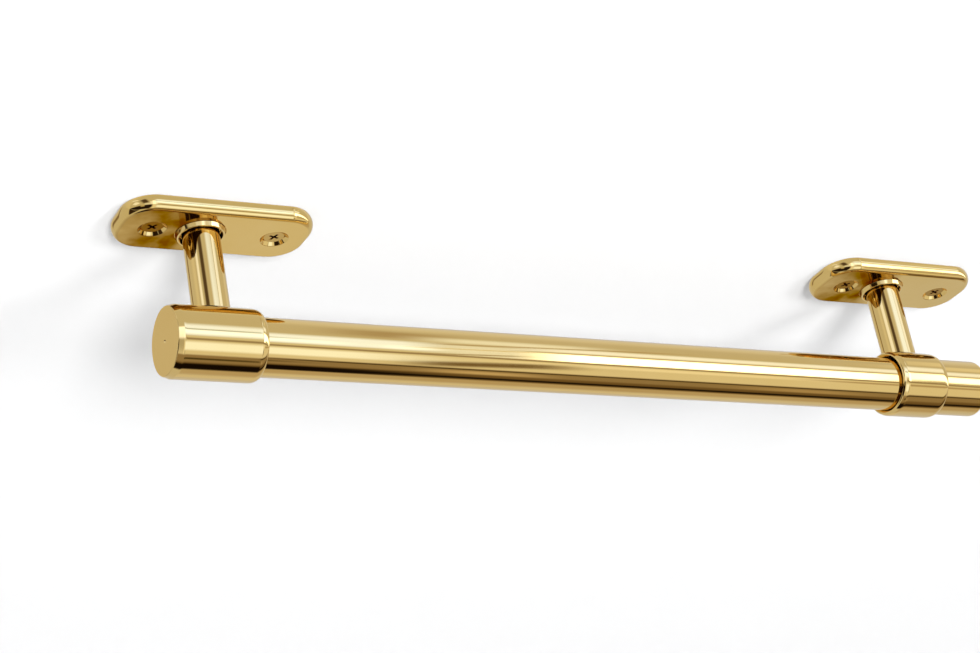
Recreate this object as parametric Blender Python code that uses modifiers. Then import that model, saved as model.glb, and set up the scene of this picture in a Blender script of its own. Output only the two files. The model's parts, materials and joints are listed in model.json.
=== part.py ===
"""Closet rod: a polished brass tube hung close under a shelf by two screwed-on brackets.

The left bracket ends in a closed socket, the right one in an open sleeve that the rod passes
through, and a slip-over cap closes the rod's far end.

Units are metres.  The origin lies where the left stem's axis meets the mounting surface, +X runs
along the rod towards the capped end, and +Z points up into the surface that carries the plates.
"""
import math

import bmesh
import bpy

# Rod and the spacing of its two supports
ROD_DIAMETER = 0.0254
ROD_WALL = 0.0012
ROD_DROP = 0.0594            # mounting surface down to the collars' axis
SUPPORT_SPACING = 0.3635     # left stem axis to right stem axis

# Mount plates, with the stem standing off the plate's middle
PLATE_LENGTH = 0.0877
PLATE_WIDTH = 0.0361
PLATE_THICKNESS = 0.0069
PLATE_CORNER = 0.0144        # corner radius seen from below
PLATE_EDGE = 0.0025          # rounding along the visible edge
PLATE_SHIFT = 0.0063         # stem axis to the plate's middle, along +X
PLATE_WEB = 0.0016           # metal left behind the stud's blind hole

# Wood screws and their countersunk holes
HOLE_INSET = 0.01595         # hole axis in from the plate's end
COUNTERSINK_DIAMETER = 0.0127
SCREW_HEAD_DIAMETER = 0.0100
SCREW_SHANK_DIAMETER = 0.0048
SCREW_HEAD_RIM = 0.0003      # straight rim below the head's cone
SCREW_LENGTH = 0.0380
SCREW_POINT = 0.0060

# Stem, the ring round its foot and the stud inside it
STEM_DIAMETER = 0.0162
RING_WIDTH = 0.0020
RING_HEIGHT = 0.0024         # how far the ring stands out of the plate
RING_GAP = 0.0007            # open gap between ring and stem
POCKET_DEPTH = 0.0010        # shallow seat in the plate for stem and ring
STUD_DIAMETER = 0.0080
STUD_REACH = 0.0090          # thread length inside the stem

# Collars on the stems
COLLAR_WALL = 0.00235
COLLAR_EDGE = 0.0017         # rounding of the collars' outer edges
SOCKET_LENGTH = 0.0404
SOCKET_SHIFT = 0.0024        # the socket's middle lies this far outboard of its stem
SOCKET_FLOOR = 0.0030
SOCKET_DIMPLE = 0.0005       # turning centre left in the socket's end face
SLEEVE_LENGTH = 0.0277
SLEEVE_SHIFT = 0.0001        # and the sleeve's middle
BORE_LIP = 0.0004            # small chamfer at each bore's mouth

# Screw that ties a collar to its stem from inside the bore
TIE_DIAMETER = 0.0050
TIE_REACH = 0.0110           # thread length inside the stem
TIE_LIP = 0.0004             # collar wall left above the countersunk head

# Set screw that holds the rod, at the back of each collar
SET_DIAMETER = 0.0050
SET_LENGTH = 0.0035
SET_POINT = 0.0010           # length of the conical point
SET_HEX = 0.0025             # hexagon socket, across its flats
SET_HEX_DEPTH = 0.0015

# End cap, a drawn cup of even wall
CAP_REACH = 0.0257
CAP_WALL = 0.0006
CAP_ROUND = 0.0020

# Clearances
SEAT_GAP = 0.0003            # between pieces that seat on or thread into each other
BORE_PLAY = 0.0006           # radial play of the rod in its collars
ROD_SETTLE = 0.0003          # the rod lies this far below the collars' axis
CAP_FIT = 0.00025            # radial fit of the cap on the rod
EDGE_BREAK = 0.0003          # chamfer on turned ends
CUT_OVERRUN = 0.0020         # how far a cutter runs past the face that it opens

# Facets of round pieces
TUBE_STEPS = 48
STEM_STEPS = 40
SCREW_STEPS = 24
CORNER_STEPS = 8
EDGE_STEPS = 4

# Worked out from the sizes above
ROD_RADIUS = ROD_DIAMETER / 2
STEM_RADIUS = STEM_DIAMETER / 2
BORE_RADIUS = ROD_RADIUS + BORE_PLAY
COLLAR_RADIUS = BORE_RADIUS + COLLAR_WALL
COLLAR_AXIS_Z = -ROD_DROP
ROD_AXIS_Z = COLLAR_AXIS_Z - ROD_SETTLE
FACE_Z = -PLATE_THICKNESS
POCKET_Z = FACE_Z + POCKET_DEPTH
STEM_TOP_Z = POCKET_Z - SEAT_GAP
RING_INNER = STEM_RADIUS + RING_GAP
RING_OUTER = RING_INNER + RING_WIDTH
CONE_GAP = SEAT_GAP * math.sqrt(2)     # sideways gap that keeps SEAT_GAP between 45 degree cones

BRASS = (0.72, 0.50, 0.17)
BRASS_ROUGHNESS = 0.10
STEEL = (0.55, 0.55, 0.56)
STEEL_ROUGHNESS = 0.30

# Name, stem position along X, outboard direction along X, collar length and shift
LEFT = ("left", 0.0, -1, SOCKET_LENGTH, SOCKET_SHIFT)
RIGHT = ("right", SUPPORT_SPACING, 1, SLEEVE_LENGTH, SLEEVE_SHIFT)


def fresh_collection(name):
    """Return an empty collection that is linked to the scene."""
    collection = bpy.data.collections.get(name) or bpy.data.collections.new(name)
    if name not in bpy.context.scene.collection.children:
        bpy.context.scene.collection.children.link(collection)
    return collection


def metal(name, colour, roughness):
    """Make one sub-part's metal finish."""
    material = bpy.data.materials.new(name)
    material.use_nodes = True
    shader = material.node_tree.nodes["Principled BSDF"]
    shader.inputs["Base Color"].default_value = (*colour, 1.0)
    shader.inputs["Metallic"].default_value = 1.0
    shader.inputs["Roughness"].default_value = roughness
    return material


def finish(obj, colour=BRASS, roughness=BRASS_ROUGHNESS):
    """Put a piece among the parts with its own material."""
    obj.data.materials.append(metal(f"{obj.name}_metal", colour, roughness))
    PARTS.objects.link(obj)
    return obj


def arc(centre_radius, centre_height, radius, start, end, steps=EDGE_STEPS):
    """Points of an arc in a turned profile, from one angle to another in degrees."""
    angles = [math.radians(start + (end - start) * i / steps) for i in range(steps + 1)]
    return [(centre_radius + radius * math.cos(a), centre_height + radius * math.sin(a)) for a in angles]


def turned(name, profile, steps, ring=False):
    """Turn (radius, height) points, listed down the outer side, about the local Z axis."""
    count = len(profile)
    edges = [(i, i + 1) for i in range(count - 1)]
    if ring:
        edges.append((count - 1, 0))
    mesh = bpy.data.meshes.new(name)
    mesh.from_pydata([(radius, 0.0, height) for radius, height in profile], edges, [])
    obj = bpy.data.objects.new(name, mesh)
    screw = obj.modifiers.new("turn", "SCREW")
    screw.steps = steps
    screw.render_steps = steps
    screw.use_merge_vertices = True
    screw.merge_threshold = 0.00001
    screw.use_smooth_shade = True
    return obj


def cut(target, cutter):
    """Take a cutter's volume out of a piece, keeping the cutter as a hidden wire guide."""
    cutter.hide_render = True
    cutter.display_type = "WIRE"
    CUTTERS.objects.link(cutter)
    boolean = target.modifiers.new(cutter.name, "BOOLEAN")
    boolean.operation = "DIFFERENCE"
    boolean.solver = "EXACT"
    boolean.object = cutter


def prism(name, radius, low, high, sides):
    """A straight round or many-sided bar along local Z, from one height to another."""
    bm = bmesh.new()
    bmesh.ops.create_cone(bm, cap_ends=True, segments=sides, radius1=radius, radius2=radius, depth=high - low)
    bmesh.ops.translate(bm, vec=(0.0, 0.0, (low + high) / 2), verts=bm.verts)
    mesh = bpy.data.meshes.new(name)
    bm.to_mesh(mesh)
    bm.free()
    return bpy.data.objects.new(name, mesh)


def along_x(obj, direction, x, z):
    """Lay a turned piece's axis along +X or -X."""
    obj.rotation_euler = (0.0, direction * math.pi / 2, 0.0)
    obj.location = (x, 0.0, z)
    return obj


def along_y(obj, x, z):
    """Lay a turned piece's axis along +Y, towards the back."""
    obj.rotation_euler = (-math.pi / 2, 0.0, 0.0)
    obj.location = (x, 0.0, z)
    return obj


def plate_blank(name):
    """Oblong block with round corners and one rounded rim, its back on the mounting surface."""
    bm = bmesh.new()
    bmesh.ops.create_cube(bm, size=1.0)
    bmesh.ops.scale(bm, vec=(PLATE_LENGTH, PLATE_WIDTH, PLATE_THICKNESS), verts=bm.verts)
    bmesh.ops.translate(bm, vec=(0.0, 0.0, FACE_Z / 2), verts=bm.verts)
    uprights = [e for e in bm.edges if abs(e.verts[0].co.z - e.verts[1].co.z) > PLATE_THICKNESS / 2]
    bmesh.ops.bevel(bm, geom=uprights, offset=PLATE_CORNER, segments=CORNER_STEPS, profile=0.5, affect="EDGES")
    rim = [e for e in bm.edges if max(v.co.z for v in e.verts) < FACE_Z / 2]
    bmesh.ops.bevel(bm, geom=rim, offset=PLATE_EDGE, segments=EDGE_STEPS, profile=0.5, affect="EDGES")
    mesh = bpy.data.meshes.new(name)
    bm.to_mesh(mesh)
    bm.free()
    mesh.shade_smooth()
    mesh.set_sharp_from_angle(angle=math.radians(30))
    return bpy.data.objects.new(name, mesh)


def hole_places(stem_x):
    """X positions of a plate's two screw holes, in from its ends."""
    middle = stem_x + PLATE_SHIFT
    reach = PLATE_LENGTH / 2 - HOLE_INSET
    return middle - reach, middle + reach


def countersink_cutter(name):
    """Clearance hole with a 45 degree countersink that opens on the plate's face."""
    hole = SCREW_SHANK_DIAMETER / 2 + SEAT_GAP
    mouth = COUNTERSINK_DIAMETER / 2
    profile = [
        (0.0, CUT_OVERRUN),
        (hole, CUT_OVERRUN),
        (hole, FACE_Z + mouth - hole),
        (mouth, FACE_Z),
        (mouth, FACE_Z - CUT_OVERRUN),
        (0.0, FACE_Z - CUT_OVERRUN),
    ]
    return turned(name, profile, SCREW_STEPS)


def stem_seat_cutter(name):
    """Shallow pocket for stem and ring, with the stud's blind hole in its floor."""
    hole = STUD_DIAMETER / 2 + SEAT_GAP
    pocket = RING_OUTER + SEAT_GAP
    profile = [
        (0.0, -PLATE_WEB),
        (hole, -PLATE_WEB),
        (hole, POCKET_Z),
        (pocket, POCKET_Z),
        (pocket, FACE_Z - CUT_OVERRUN),
        (0.0, FACE_Z - CUT_OVERRUN),
    ]
    return turned(name, profile, STEM_STEPS)


def mount_plate(side, stem_x):
    """Plate with its two countersunk holes and the seat for the stem."""
    plate = finish(plate_blank(f"{side}_mount_plate"))
    plate.location.x = stem_x + PLATE_SHIFT
    for number, hole_x in enumerate(hole_places(stem_x), 1):
        cutter = countersink_cutter(f"{side}_countersink_{number}")
        cutter.location.x = hole_x
        cut(plate, cutter)
    seat = stem_seat_cutter(f"{side}_stem_seat")
    seat.location.x = stem_x
    cut(plate, seat)


def wood_screw(name, x):
    """Countersunk screw that runs up through the plate into the shelf."""
    head = SCREW_HEAD_DIAMETER / 2
    shank = SCREW_SHANK_DIAMETER / 2
    cone_z = FACE_Z + COUNTERSINK_DIAMETER / 2 - CONE_GAP - head
    base_z = cone_z - SCREW_HEAD_RIM
    tip_z = base_z + SCREW_LENGTH
    profile = [
        (0.0, tip_z),
        (shank, tip_z - SCREW_POINT),
        (shank, cone_z + head - shank),
        (head, cone_z),
        (head, base_z),
        (0.0, base_z),
    ]
    screw = finish(turned(name, profile, SCREW_STEPS))
    screw.location.x = x


def stem_ring(side, stem_x):
    """Ring with a rounded lip that dresses the stem's foot."""
    round_radius = RING_WIDTH / 2
    lip_z = FACE_Z - RING_HEIGHT + round_radius
    profile = [(RING_INNER, STEM_TOP_Z), (RING_OUTER, STEM_TOP_Z)]
    profile += arc(RING_INNER + round_radius, lip_z, round_radius, 0, -180, 2 * EDGE_STEPS)
    ring = finish(turned(f"{side}_stem_ring", profile, STEM_STEPS, ring=True))
    ring.location.x = stem_x


def stem(side, stem_x):
    """Post with a blind thread at each end, coped below to sit on its collar."""
    stud_hole = STUD_DIAMETER / 2 + SEAT_GAP
    tie_hole = TIE_DIAMETER / 2 + SEAT_GAP
    stud_floor = STEM_TOP_Z - STUD_REACH - SEAT_GAP
    tie_floor = COLLAR_AXIS_Z + COLLAR_RADIUS + TIE_REACH + SEAT_GAP
    profile = [
        (0.0, stud_floor),
        (stud_hole, stud_floor),
        (stud_hole, STEM_TOP_Z),
        (STEM_RADIUS - EDGE_BREAK, STEM_TOP_Z),
        (STEM_RADIUS, STEM_TOP_Z - EDGE_BREAK),
        (STEM_RADIUS, COLLAR_AXIS_Z),
        (tie_hole, COLLAR_AXIS_Z),
        (tie_hole, tie_floor),
        (0.0, tie_floor),
    ]
    post = finish(turned(f"{side}_stem", profile, STEM_STEPS))
    post.location.x = stem_x
    reach = STEM_RADIUS + CUT_OVERRUN
    cope = prism(f"{side}_stem_cope", COLLAR_RADIUS + SEAT_GAP, -reach, reach, TUBE_STEPS)
    cut(post, along_x(cope, 1, stem_x, COLLAR_AXIS_Z))


def plate_stud(side, stem_x):
    """Threaded stud that joins plate and stem, drawn at its outer thread size."""
    radius = STUD_DIAMETER / 2
    top = -PLATE_WEB - SEAT_GAP
    bottom = STEM_TOP_Z - STUD_REACH
    profile = [
        (0.0, top),
        (radius - EDGE_BREAK, top),
        (radius, top - EDGE_BREAK),
        (radius, bottom + EDGE_BREAK),
        (radius - EDGE_BREAK, bottom),
        (0.0, bottom),
    ]
    stud = finish(turned(f"{side}_plate_stud", profile, SCREW_STEPS), STEEL, STEEL_ROUGHNESS)
    stud.location.x = stem_x


def collar_span(length, shift):
    """Distances from the stem's axis to a collar's outboard and inboard ends."""
    return length / 2 + shift, length / 2 - shift


def collar_outside(outboard, inboard):
    """Outer side of a collar's profile, from its outboard edge to its inboard edge."""
    ring_radius = COLLAR_RADIUS - COLLAR_EDGE
    points = arc(ring_radius, outboard - COLLAR_EDGE, COLLAR_EDGE, 90, 0)
    return points + arc(ring_radius, COLLAR_EDGE - inboard, COLLAR_EDGE, 0, -90)


def socket_blank(name, outboard, inboard):
    """Closed collar: a flat outer end with its turning centre, and a blind bore for the rod."""
    floor = outboard - SOCKET_FLOOR
    profile = [(0.0, outboard - SOCKET_DIMPLE), (SOCKET_DIMPLE, outboard)]
    profile += collar_outside(outboard, inboard)
    profile += [
        (BORE_RADIUS + BORE_LIP, -inboard),
        (BORE_RADIUS, BORE_LIP - inboard),
        (BORE_RADIUS, floor),
        (0.0, floor),
    ]
    return turned(name, profile, TUBE_STEPS)


def sleeve_blank(name, outboard, inboard):
    """Open collar that the rod passes right through."""
    profile = collar_outside(outboard, inboard)
    profile += [
        (BORE_RADIUS + BORE_LIP, -inboard),
        (BORE_RADIUS, BORE_LIP - inboard),
        (BORE_RADIUS, outboard - BORE_LIP),
        (BORE_RADIUS + BORE_LIP, outboard),
    ]
    return turned(name, profile, TUBE_STEPS, ring=True)


def tie_head_height():
    """Height of the tie screw's conical head, which stays inside the collar's wall."""
    return COLLAR_WALL - TIE_LIP


def tie_hole_cutter(name):
    """Countersunk hole through the top of a collar, opened from inside its bore."""
    hole = TIE_DIAMETER / 2 + SEAT_GAP
    crown = COLLAR_AXIS_Z + BORE_RADIUS
    cone_top = crown + tie_head_height() + CONE_GAP - SEAT_GAP
    mouth = hole + cone_top - crown
    profile = [
        (0.0, crown + COLLAR_WALL + CUT_OVERRUN),
        (hole, crown + COLLAR_WALL + CUT_OVERRUN),
        (hole, cone_top),
        (mouth, crown),
        (mouth, COLLAR_AXIS_Z + BORE_RADIUS / 2),
        (0.0, COLLAR_AXIS_Z + BORE_RADIUS / 2),
    ]
    return turned(name, profile, SCREW_STEPS)


def collar(side, stem_x, direction, length, shift):
    """Socket or sleeve, with the tie screw's hole above and the set screw's thread behind."""
    blank = socket_blank if side == "left" else sleeve_blank
    kind = "socket" if side == "left" else "sleeve"
    outboard, inboard = collar_span(length, shift)
    body = finish(blank(f"{side}_rod_{kind}", outboard, inboard))
    along_x(body, direction, stem_x, COLLAR_AXIS_Z)
    tie_hole = tie_hole_cutter(f"{side}_tie_hole")
    tie_hole.location.x = stem_x
    cut(body, tie_hole)
    thread = prism(
        f"{side}_set_thread",
        SET_DIAMETER / 2 + SEAT_GAP,
        ROD_RADIUS,
        COLLAR_RADIUS + CUT_OVERRUN,
        SCREW_STEPS,
    )
    cut(body, along_y(thread, stem_x + direction * shift, ROD_AXIS_Z))


def tie_screw(side, stem_x):
    """Countersunk screw that draws the stem down onto its collar."""
    radius = TIE_DIAMETER / 2
    crown = COLLAR_AXIS_Z + BORE_RADIUS
    top = COLLAR_AXIS_Z + COLLAR_RADIUS + TIE_REACH
    profile = [
        (0.0, top),
        (radius - EDGE_BREAK, top),
        (radius, top - EDGE_BREAK),
        (radius, crown + tie_head_height()),
        (radius + tie_head_height(), crown),
        (0.0, crown),
    ]
    screw = finish(turned(f"{side}_tie_screw", profile, SCREW_STEPS), STEEL, STEEL_ROUGHNESS)
    screw.location.x = stem_x


def set_screw(side, collar_x):
    """Headless screw behind the collar's middle, its point on the rod, with a hexagon socket."""
    radius = SET_DIAMETER / 2
    tip = ROD_RADIUS + SEAT_GAP
    end = tip + SET_LENGTH
    profile = [
        (0.0, end),
        (radius - EDGE_BREAK, end),
        (radius, end - EDGE_BREAK),
        (radius, tip + SET_POINT),
        (radius - SET_POINT, tip),
        (0.0, tip),
    ]
    name = f"{side}_set_screw"
    screw = finish(turned(name, profile, SCREW_STEPS), STEEL, STEEL_ROUGHNESS)
    along_y(screw, collar_x, ROD_AXIS_Z)
    corner_radius = SET_HEX / 2 / math.cos(math.pi / 6)
    hexagon = prism(f"{side}_set_hexagon", corner_radius, end - SET_HEX_DEPTH, end + CUT_OVERRUN, 6)
    cut(screw, along_y(hexagon, collar_x, ROD_AXIS_Z))


def bracket(side, stem_x, direction, length, shift):
    """Everything that hangs one end of the rod from the shelf."""
    mount_plate(side, stem_x)
    outer_x, inner_x = hole_places(stem_x)[::-direction]
    wood_screw(f"{side}_outer_wood_screw", outer_x)
    wood_screw(f"{side}_inner_wood_screw", inner_x)
    stem_ring(side, stem_x)
    stem(side, stem_x)
    plate_stud(side, stem_x)
    collar(side, stem_x, direction, length, shift)
    tie_screw(side, stem_x)
    set_screw(side, stem_x + direction * shift)


def cap_start():
    """X of the cap's rim, just clear of the sleeve's outer end."""
    return SUPPORT_SPACING + collar_span(SLEEVE_LENGTH, SLEEVE_SHIFT)[0] + SEAT_GAP


def rod_tube():
    """Plain tube from the socket's floor to the corner of the cap."""
    start = SOCKET_FLOOR + SEAT_GAP - collar_span(SOCKET_LENGTH, SOCKET_SHIFT)[0]
    length = cap_start() + CAP_REACH - CAP_ROUND - start
    inner = ROD_RADIUS - ROD_WALL
    profile = [
        (inner, length),
        (ROD_RADIUS - EDGE_BREAK, length),
        (ROD_RADIUS, length - EDGE_BREAK),
        (ROD_RADIUS, EDGE_BREAK),
        (ROD_RADIUS - EDGE_BREAK, 0.0),
        (inner, 0.0),
    ]
    rod = finish(turned("rod_tube", profile, TUBE_STEPS, ring=True))
    along_x(rod, 1, start, ROD_AXIS_Z)


def end_cap():
    """Drawn cup slipped over the rod's far end, with a rounded rim at its closed end."""
    inner = ROD_RADIUS + CAP_FIT
    outer = inner + CAP_WALL
    inner_round = CAP_ROUND - CAP_WALL
    profile = [(0.0, CAP_REACH)]
    profile += arc(outer - CAP_ROUND, CAP_REACH - CAP_ROUND, CAP_ROUND, 90, 0)
    profile += [(outer, 0.0), (inner, 0.0)]
    profile += arc(inner - inner_round, CAP_REACH - CAP_ROUND, inner_round, 0, 90)
    profile += [(0.0, CAP_REACH - CAP_WALL)]
    cap = finish(turned("end_cap", profile, TUBE_STEPS))
    along_x(cap, 1, cap_start(), ROD_AXIS_Z)


for leftover in list(bpy.data.objects):
    bpy.data.objects.remove(leftover, do_unlink=True)
PARTS = fresh_collection("closet_rod")
CUTTERS = fresh_collection("closet_rod_cutters")
bracket(*LEFT)
bracket(*RIGHT)
rod_tube()
end_cap()
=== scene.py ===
"""Looks of the closet rod: mirror-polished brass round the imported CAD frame.

Every new piece is a surface worked out as whole numpy arrays, in metres, in the frame's own axes:
+X along the rod, +Y to the back, +Z up into the surface that carries the plates.
"""

import json
import math

import bmesh
import bpy
import numpy as np
from mathutils import Matrix, Vector

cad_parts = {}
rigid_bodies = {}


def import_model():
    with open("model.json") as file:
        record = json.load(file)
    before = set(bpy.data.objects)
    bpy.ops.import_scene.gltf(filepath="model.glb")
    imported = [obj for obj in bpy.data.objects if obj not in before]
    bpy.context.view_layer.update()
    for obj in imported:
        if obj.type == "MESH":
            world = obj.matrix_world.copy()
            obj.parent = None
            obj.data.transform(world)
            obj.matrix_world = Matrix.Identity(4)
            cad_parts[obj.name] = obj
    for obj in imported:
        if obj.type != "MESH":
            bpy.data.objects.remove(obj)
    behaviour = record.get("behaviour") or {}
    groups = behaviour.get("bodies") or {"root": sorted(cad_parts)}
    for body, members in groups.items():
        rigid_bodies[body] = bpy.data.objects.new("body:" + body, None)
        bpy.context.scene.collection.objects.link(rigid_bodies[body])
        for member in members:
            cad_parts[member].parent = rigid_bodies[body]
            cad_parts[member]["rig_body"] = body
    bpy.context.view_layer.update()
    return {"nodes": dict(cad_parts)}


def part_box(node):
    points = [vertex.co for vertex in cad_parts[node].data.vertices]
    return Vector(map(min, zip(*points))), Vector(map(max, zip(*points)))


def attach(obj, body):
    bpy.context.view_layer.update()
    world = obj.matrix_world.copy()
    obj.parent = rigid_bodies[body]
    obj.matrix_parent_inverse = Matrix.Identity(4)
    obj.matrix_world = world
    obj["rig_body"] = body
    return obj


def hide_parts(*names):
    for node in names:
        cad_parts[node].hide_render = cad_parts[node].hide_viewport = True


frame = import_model()

MM = 0.001
TURN = 2 * math.pi

# Grid steps of round pieces
ROUND_STEPS = 256
STEM_STEPS = 192
EDGE_STEPS = 8
CORNER_STEPS = 28
END_STEPS = 9                 # along a plate's short sides and past its outer cuts
MIDDLE_STEPS = 33             # along its sides between the cuts
CUT_STEPS = 41                # along a cut
WINDOW_STEPS = 33             # along a collar, across its drilled holes

# Shading supports: points set this close to both ends of every longer straight run
BRACE = 0.04 * MM
BRACE_FROM = 0.5 * MM
SHARP_ANGLE = math.radians(38)
WELD = 0.002 * MM

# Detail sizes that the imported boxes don't give
SEAT_GAP = 0.3 * MM
EDGE_BREAK = 0.3 * MM
PLATE_CORNER = 14.4 * MM
PLATE_LIP = 2.5 * MM          # tight rounding between a plate's wall and its face
PLATE_CROWN = 5.2 * MM        # radius of the crowned wall
PLATE_LIP_TILT = math.radians(33)   # tilt at which the crown runs into the lip
PLATE_WEB = 1.6 * MM
COUNTERSINK_RADIUS = 6.35 * MM
COUNTERSINK_EDGE = 0.35 * MM
COUNTERSINK_TILT = math.radians(54)   # wall of a countersink, from the plate's face
HEAD_SINK = 0.45 * MM         # a worn-in head sits this much deeper than its seat in the solids
POCKET_DEPTH = 1.0 * MM
RING_WIDTH = 2.0 * MM
RING_TAPER = 0.6 * MM         # how far the ring's wall leans in from the plate to its lip
RING_MOUTH = 0.75 * MM        # how far its bore opens at the lip
RING_WEAR = 0.5 * MM          # by how much its lip is lower than in the solids
STEM_SHOULDER = 2.0 * MM      # from a stem's top down to its plain wall
STUD_RADIUS = 4.0 * MM
STUD_REACH = 9.0 * MM         # length of a stud inside its stem
COLLAR_EDGE = 1.40 * MM       # how far a collar's end rounding reaches in from its wall
COLLAR_SWEEP = 3.4 * MM       # and how far along its wall
EDGE_RUN = 1.3                # wall that is made with an end's rounding, in sweeps
FACE_EDGE = 0.9 * MM          # the same two of the shallow cone at the socket's closed end
FACE_SWEEP = 2.9 * MM
FACE_SOFT = (0.45 * MM, 4.0 * MM)   # rounding between that cone and the flat, and between it and the wall
BORE_RADIUS = 13.3 * MM
BORE_LIP = 0.8 * MM
SOCKET_FLOOR = 3.0 * MM
SOCKET_DIMPLE = 0.9 * MM
SCREW_RADIUS = 2.4 * MM
TIE_RADIUS = 2.5 * MM
TIE_LIP = 0.4 * MM
TIE_REACH = 11.0 * MM         # length of a tie screw inside its stem
ROD_WALL = 1.2 * MM
CAP_WALL = 0.6 * MM
CAP_ROUND = 2.0 * MM
DRILL_WINDOW = 6.4 * MM       # half length of the fine grid round a drilled hole
DRILL_COLUMNS = 17            # half width of that grid, in steps of a turn

# Countersunk screws: straight rim below the head's cone, point, pitch and depth of the thread, and the reach, width
# and depth of the cross recess
WOOD_SCREW = {
    "head_rim": 0.3 * MM, "point": 6 * MM, "pitch": 2.0 * MM, "depth": 0.7 * MM,
    "recess": (2.25 * MM, 1.15 * MM, 2.0 * MM),
}
TIE_SCREW = {
    "head_rim": 0.0, "point": 0.0, "pitch": 0.8 * MM, "depth": 0.4 * MM, "recess": (1.9 * MM, 0.95 * MM, 1.3 * MM),
}
SCREW_NECK = 2.0 * MM         # shank below a head's cone that is plain,
THREAD_FROM = 3.0 * MM        # and where its thread begins
RECESS_STEPS = ((0.62, 0.72, 0.90), (0.90, 0.88, 0.55))   # shares of reach, width and depth on the way out
RECESS_BREAK = (0.06 * MM, 0.04 * MM)                     # broken edge of a recess: across and down

# Set screws
SET_HEX = 2.5 * MM
SET_HEX_DEPTH = 1.5 * MM
SET_HEX_BREAK = 0.15 * MM
SET_POINT = 1.0 * MM
SET_PITCH = 0.8 * MM
SET_THREAD = 0.35 * MM
SET_RUN = 0.05 * MM           # plain run at both ends of the thread

# How far each wood screw's recess is turned, in degrees, and how much darker its head's face is
SCREWS = {
    "left": (("outer", 32, 0.8), ("inner", 18, 0.2)),
    "right": (("outer", 24, 0.45), ("inner", 38, 0.65)),
}
# Depth of the painted shade beside each plate's stem
PLATE_SHADE_DEPTH = {"left": 0.95, "right": 0.8}
SHADE_FANS = 5.6            # how closely a plate's fans of painted shade follow each other round its stem

# Tones of the metals, the mirror finish, and the sizes of the brass's patterns in millimetres
BRASS_TONES = ("#F2D28A", "#EDCB7E")
PLATE_TONES = ("#F2D28A", "#EAC670")
SCREW_TONES = ("#EDCC7E", "#E0BC6A")
STEEL_TONES = ("#A9AEB3", "#CDD0D1")
# Tint of the painted shade beside a plate's stem
FACE_SHADE_TINT = "#A07E1E"
# Tint of the screws' painted shade and dirt
SCREW_SHADE_DIRT_TINT = "#936A30"
# Tint of the painted shade in a stem's ring gap
GAP_SHADE_TINT = "#1E1408"
MIRROR = {"rough": 0.055, "wave_um": 3.0, "line_mm": 0.9, "line_um": 0.25}
TONE_SIZE = 22
GLOSS_SIZE = 6
WAVE_SIZE = 11
# Size of the clouds in the plates' painted shade
SHADE_CLOUD_SIZE = 9
STEEL_SIZE = 1.5
STEEL_GLOSS = (0.22, 0.42)    # roughness of the smoothest and the dullest zinc
GLOSS_NOISE = (0.1, 0.45)     # span of the product of lines and clouds that sets the brass's gloss,
GLOSS_SPREAD = (0.7, 1.3)     # and shares of its roughness at both ends of it
LINE_STRETCH = (0.01, 1.0, 1.0)   # draws the rod's lines out along X

# Camera fitted to the photograph
CAMERA_PLACE = (-0.39043, -0.82685, -0.49119)
CAMERA_FORWARD = (0.48669, 0.76781, 0.41666)
CAMERA_UP = (-0.05818, -0.44740, 0.89244)
CAMERA_LENS = 89.03
CAMERA_SENSOR = 36.0


def span(node):
    """Lowest and highest corner of a CAD node, as arrays."""
    low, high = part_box(node)
    return np.array(low), np.array(high)


# Surfaces


def about(axis, origin, radius, angle, height):
    """Points at a radius, angle and height about an axis: cosine and sine go on the other two axes in order."""
    first, second = [k for k in "xyz" if k != axis]
    parts = {axis: height, first: radius * np.cos(angle), second: radius * np.sin(angle)}
    return np.stack(np.broadcast_arrays(parts["x"], parts["y"], parts["z"]), -1) + np.asarray(origin)


def rounded(corners, radii, steps=EDGE_STEPS):
    """Profile through corners, each corner with a radius swapped for the arc that is tangent to both its sides."""
    corners = np.asarray(corners, float)
    rows = []
    for i, radius in enumerate(radii):
        point = corners[i]
        if not radius:
            rows.append(point[None])
            continue
        back, on = corners[i - 1] - point, corners[(i + 1) % len(corners)] - point
        back, on = back / np.linalg.norm(back), on / np.linalg.norm(on)
        half = math.acos(np.clip(back @ on, -1, 1)) / 2
        centre = point + (back + on) / np.linalg.norm(back + on) * radius / math.sin(half)
        start, end = point + back * radius / math.tan(half) - centre, point + on * radius / math.tan(half) - centre
        first = math.atan2(start[1], start[0])
        sweep = (math.atan2(end[1], end[0]) - first + math.pi) % TURN - math.pi
        angle = first + sweep * np.linspace(0, 1, steps + 1)
        rows.append(centre + radius * np.stack([np.cos(angle), np.sin(angle)], -1))
    return brace(np.concatenate(rows))


def brace(profile):
    """Adds a point close to each end of every longer straight run, so that flats are shaded flat."""
    start, step = profile[:-1], np.diff(profile, axis=0)
    length = np.linalg.norm(step, axis=1)
    share = (BRACE / np.maximum(length, BRACE))[:, None]
    points = np.stack([start, start + step * share, start + step * (1 - share)], 1)
    keep = np.stack([np.full(len(length), True), length > BRACE_FROM, length > BRACE_FROM], 1)
    return np.concatenate([points[keep], profile[-1:]])


def quads(rows, cols, wrap=True):
    """Corner numbers of a grid's quads; wrap joins the last column to the first."""
    row, col = np.meshgrid(np.arange(rows - 1), np.arange(cols if wrap else cols - 1), indexing="ij")
    right = (col + 1) % cols
    return np.stack([row * cols + col, row * cols + right, (row + 1) * cols + right, (row + 1) * cols + col], -1)


def sheet_of(points, wrap=True):
    """A grid of points as a patch: flat list of points and its quads."""
    rows, cols = points.shape[:2]
    return points.reshape(-1, 3), quads(rows, cols, wrap).reshape(-1, 4)


def turned(axis, origin, profile, angles):
    """Profile of (radius, height) rows turned about an axis through the given angles."""
    profile = np.asarray(profile)
    return sheet_of(about(axis, origin, profile[:, :1], angles[None, :], profile[:, 1:]))


def even_angles(steps=ROUND_STEPS):
    """Evenly spaced angles of a full turn, from the front round to the front again."""
    return TURN * np.arange(steps) / steps - math.pi


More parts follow.
